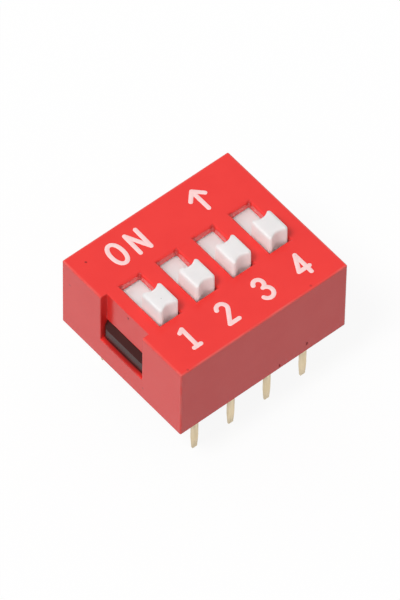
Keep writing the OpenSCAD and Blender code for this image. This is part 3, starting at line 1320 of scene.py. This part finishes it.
@dataclass
class Legend:
    """The pale printed signs: ON by the back edge with an arrow, and the poles' numbers in front."""

    stroke_w: float = 0.26
    film_t: float = 0.012
    film_step: float = 0.0015
    end_steps: int = 6
    end_turn_deg: float = 84.0
    word_y: float = 3.41
    letter_x: Pair = (-3.24, -1.83)
    arrow_x: float = 2.53
    digit_y: float = -3.3

    def places(self) -> list[tuple[str, Sign, float, float]]:
        """Places every sign on the cover.

        Returns:
            Name of the piece, sign, and x and y of its middle.
        """
        rows = [
            ("legend_o", Sign.LETTER_O, self.letter_x[0], self.word_y),
            ("legend_n", Sign.LETTER_N, self.letter_x[1], self.word_y),
            ("legend_arrow", Sign.ARROW, self.arrow_x, self.word_y),
        ]
        for i, x in zip(NUMBERS, pole_places().tolist()):
            rows.append((f"legend_{i}", Sign[f"DIGIT_{i}"], x, self.digit_y))
        return rows

    def film(self, stroke: Stroke, order: int, middle: np.ndarray) -> Surface:
        """A flat film along a stroke, with round ends and half of it sunk in the cover.

        At an end the middle line goes on by w sin t while the half width falls as w cos t.
        Each stroke stands a hair above the one before it, so that no two tops share a plane.

        Args:
            stroke: middle line.
            order: number of the stroke in its sign.
            middle: middle of the sign on the cover's top.

        Returns:
            The closed film.
        """
        line, half_w = stroke.line(), self.stroke_w / 2
        heading = np.gradient(line, axis=0)
        if stroke.closed:
            heading = np.roll(line, -1, axis=0) - np.roll(line, 1, axis=0)
        heading /= np.linalg.norm(heading, axis=1, keepdims=True)
        widths = np.full(len(line), half_w)
        if not stroke.closed:
            turn = np.radians(np.linspace(self.end_turn_deg, 0, self.end_steps, endpoint=False))[:, None]
            before = line[0] - heading[0] * half_w * np.sin(turn)
            after = line[-1] + heading[-1] * half_w * np.sin(turn[::-1])
            tips = half_w * np.cos(turn[:, 0])
            line = np.concatenate([before, line, after])
            heading = np.pad(heading, [(len(tips), len(tips)), (0, 0)], mode="edge")
            widths = np.concatenate([tips, widths, tips[::-1]])
        count, flat = len(line), np.zeros(len(line))
        stations = np.zeros((count, len(Column)))
        stations[:, Column.HALF_W] = widths
        stations[:, Column.HALF_L] = self.film_t + order * self.film_step
        stations[:, Column.CORNER] = np.minimum(self.film_t, widths / 2)
        places = np.concatenate([line, flat[:, None]], axis=1) + middle
        across = np.stack([-heading[:, 1], heading[:, 0], flat], axis=1)
        along = np.tile([0.0, 0.0, 1.0], (count, 1))
        detail = RingDetail(corner=2, end=2, side=1)
        return loft(Path(places, across, along), stations, detail, closed=stroke.closed)

    def build(self) -> list[Object]:
        """Makes each sign as one piece.

        Returns:
            The signs, flat on the cover's top.
        """
        top = Extent.of("cover").high[2]
        pieces = []
        for name, sign, x, y in self.places():
            middle = np.array([x, y, top])
            films = [self.film(stroke, k, middle) for k, stroke in enumerate(sign.value)]
            pieces.append(make_piece(name, Surface.joined(films)))
        return pieces

    def dress(self, pieces: list[Object]) -> None:
        """Gives every sign its pale ink and fixes it to the housing.

        Args:
            pieces: the signs.
        """
        ink = Plastic(
            name="legend_ink",
            shade=Shade(255, 218, 216),
            deep_shade=Shade(255, 210, 208),
            dirt_and_shade=Shade(235, 150, 145),
            roughness=(0.5, 0.6),
            grain=Grain(cloud=0.5),
            speck_cell=0.4,
            speck_size=0.03,
        ).material()
        for piece in pieces:
            settle(piece, "housing", ink)


@dataclass
class Inside:
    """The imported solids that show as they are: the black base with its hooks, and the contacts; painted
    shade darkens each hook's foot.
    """

    hook_foot_z: float = 1.62
    hook_shade_spread: Triple = (0.3, 3.4, 0.3)
    hook_shade_shown: float = 0.9

    def dress(self) -> None:
        """Gives the base its black plastic, with painted shade at the hooks' feet, and the contacts their
        plating.
        """
        hook = Extent.of("base").high[0]
        # Painted shade at each hook's foot, laid as a dark smear.
        feet = [(side * hook, 0.0, self.hook_foot_z) for side in (-1, 1)]
        black = Plastic(
            name="black_moulding",
            # The red tint in these tones is a painted reflection and bounce from the red cover; the
            # moulding itself is black.
            shade=Shade(68, 27, 25),
            deep_shade=Shade(62, 24, 23),
            dirt_and_shade=Shade(26, 14, 14),
            roughness=(0.2, 0.24),
            specular=0.13,
            smears=tuple(Smear(foot, self.hook_shade_spread, self.hook_shade_shown) for foot in feet),
        ).material()
        leaf = Plating(
            name="contact_plating",
            bright=Shade(222, 190, 118),
            dull=Shade(203, 170, 99),
            squeeze=(1.0, 0.12, 1.0),
        ).material()
        finishes = {"base": black, **{f"contact_{i}": leaf for i in NUMBERS}}
        for node, material in finishes.items():
            slots = frame["nodes"][node].data.materials
            slots.clear()
            slots.append(material)
            log.info("%s: packed solid with %s", node, material.name)


# Studio


def stand(name: str, data: ID, columns: Sequence[np.ndarray]) -> Object:
    """Puts a camera or a lamp into the scene.

    Args:
        name: name of the object.
        data: the camera or lamp.
        columns: its three axes, and its place in metres.

    Returns:
        The object that holds it.
    """
    holder = bpy.data.objects.new(name, data)
    matrix = np.eye(4)
    matrix[:3] = np.stack(columns, axis=1)
    holder.matrix_world = Matrix(matrix.tolist())
    bpy.context.scene.collection.objects.link(holder)
    return holder


@dataclass
class Studio:
    """Camera, soft light and a pale floor under the pins."""

    azimuth_deg: float = -40.76
    elevation_deg: float = 53.21
    roll_deg: float = 1.03
    distance: float = 450.0
    pixels_per_mm: float = 18.66
    image_h: int = 600
    sensor: float = 36.0
    clip_ratio: float = 100.0
    target: Triple = (0.0, 0.0, 2.8)
    aim_off: Pair = (-0.2326, -0.4914)
    key_from: Triple = (-0.56, -0.1, 1.0)
    key_spread_deg: float = 18.0
    key_level: float = 0.45
    horizon_level: float = 0.84
    sky_slope: Triple = (-0.16, 0.09, -0.48)
    floor_span: float = 900.0
    floor_shade: float = 0.1
    floor_glow: float = 0.9

    def camera(self) -> None:
        """Places the camera at the photograph's angle.

        With azimuth a and elevation e, right is (cos a, sin a, 0), up is (-sin e sin a, sin e cos a, cos e)
        and back is (sin a cos e, -cos a cos e, sin e). The roll turns right and up about back.
        """
        a, e, r = np.radians([self.azimuth_deg, self.elevation_deg, self.roll_deg])
        right = np.array([math.cos(a), math.sin(a), 0])
        up = np.array([-math.sin(e) * math.sin(a), math.sin(e) * math.cos(a), math.cos(e)])
        back = np.array([math.sin(a) * math.cos(e), -math.cos(a) * math.cos(e), math.sin(e)])
        right, up = math.cos(r) * right + math.sin(r) * up, math.cos(r) * up - math.sin(r) * right
        aim = np.array(self.target) + self.aim_off[0] * right + self.aim_off[1] * up
        data = bpy.data.cameras.new("camera")
        data.sensor_width = self.sensor
        data.lens = self.sensor * self.distance * self.pixels_per_mm / self.image_h
        data.clip_start = self.distance * MM / self.clip_ratio
        data.clip_end = self.distance * MM * self.clip_ratio
        place = (aim + self.distance * back) * MM
        bpy.context.scene.camera = stand("camera", data, [right, up, back, place])

    def light(self) -> None:
        """Hangs one soft lamp that has no fall-off in a sky that is brighter low down and to the left.

        The sky's level is that of the horizon plus the slope times the direction, and it looks white.
        """
        lamp = bpy.data.lights.new("key", "SUN")
        lamp.angle = math.radians(self.key_spread_deg)
        key = np.array(self.key_from) / np.linalg.norm(self.key_from)
        lamp.energy = self.key_level * math.pi / key[2]
        side = np.cross([0.0, 1.0, 0.0], key)
        side /= np.linalg.norm(side)
        stand("key", lamp, [side, np.cross(key, side), key, np.zeros(3)])

        world = bpy.data.worlds.new("sky")
        world.use_nodes = True
        bpy.context.scene.world = world
        graph = Graph(world.node_tree)
        background = world.node_tree.nodes["Background"]
        background.inputs["Color"].default_value = (1.0, 1.0, 1.0, 1.0)
        toward = graph.node("ShaderNodeTexCoord", {}).outputs["Generated"]
        rise = graph.vector("DOT_PRODUCT", toward, self.sky_slope).outputs["Value"]
        level = graph.math("ADD", rise, self.horizon_level)
        graph.feed(background.inputs["Strength"], graph.math("MAXIMUM", level, graph.seen_directly()))

    def floor(self) -> None:
        """Lays a floor under the pins' tips. It looks white, keeps the shadow and opens from below."""
        half, low = self.floor_span / 2, CAD_BOX[0][2] / MM
        corners = np.array([(-half, -half), (half, -half), (half, half), (-half, half)])
        points = np.concatenate([corners, np.full((4, 1), low)], axis=1)
        floor = make_piece("floor", Surface(points, np.array([[0, 1, 2, 3]])))
        material, graph, shader = start_material("pale_floor")
        shader.inputs["Base Color"].default_value = (*[self.floor_shade] * 3, 1.0)
        shader.inputs["Roughness"].default_value = 1.0
        shader.inputs["Specular IOR Level"].default_value = 0.0
        shader.inputs["Emission Color"].default_value = (1.0, 1.0, 1.0, 1.0)
        glow = graph.band(graph.seen_directly(), 0.0, 1.0, 0.0, self.floor_glow)
        graph.feed(shader.inputs["Emission Strength"], glow)
        below = graph.node("ShaderNodeNewGeometry", {}).outputs["Backfacing"]
        clear = graph.node("ShaderNodeBsdfTransparent", {})
        cover = graph.node("ShaderNodeMixShader", {0: below, 1: shader.outputs[0], 2: clear.outputs[0]})
        graph.feed(material.node_tree.nodes["Material Output"].inputs["Surface"], cover.outputs[0])
        floor.data.materials.append(material)

    def build(self) -> None:
        """Sets up the camera, the light and the floor."""
        bpy.context.scene.view_settings.view_transform = "Standard"
        self.camera()
        self.light()
        self.floor()


def main() -> None:
    logging.basicConfig(level=logging.INFO, format="%(name)s: %(message)s")
    Studio().build()
    cover = Cover()
    cover.dress(cover.build())
    white = Plastic(
        name="white_moulding",
        shade=Shade(239, 237, 237),
        deep_shade=Shade(235, 233, 233),
        dirt_and_shade=Shade(168, 160, 154),
        roughness=(0.38, 0.48),
        depth=0.5,
        speck_size=0.03,
        speck_share=0.08,
    ).material()
    for number in NUMBERS:
        slider = Slider(number)
        slider.dress(slider.build(), white)
    gold = Plating(
        name="pin_plating",
        bright=Shade(231, 213, 180),
        dull=Shade(221, 202, 167),
        squeeze=(1.0, 1.0, 0.12),
    ).material()
    for row in Row:
        for number in NUMBERS:
            terminal = Terminal(row, number)
            terminal.dress(terminal.build(), gold)
    legend = Legend()
    legend.dress(legend.build())
    Inside().dress()


if __name__ == "__main__":
    main()
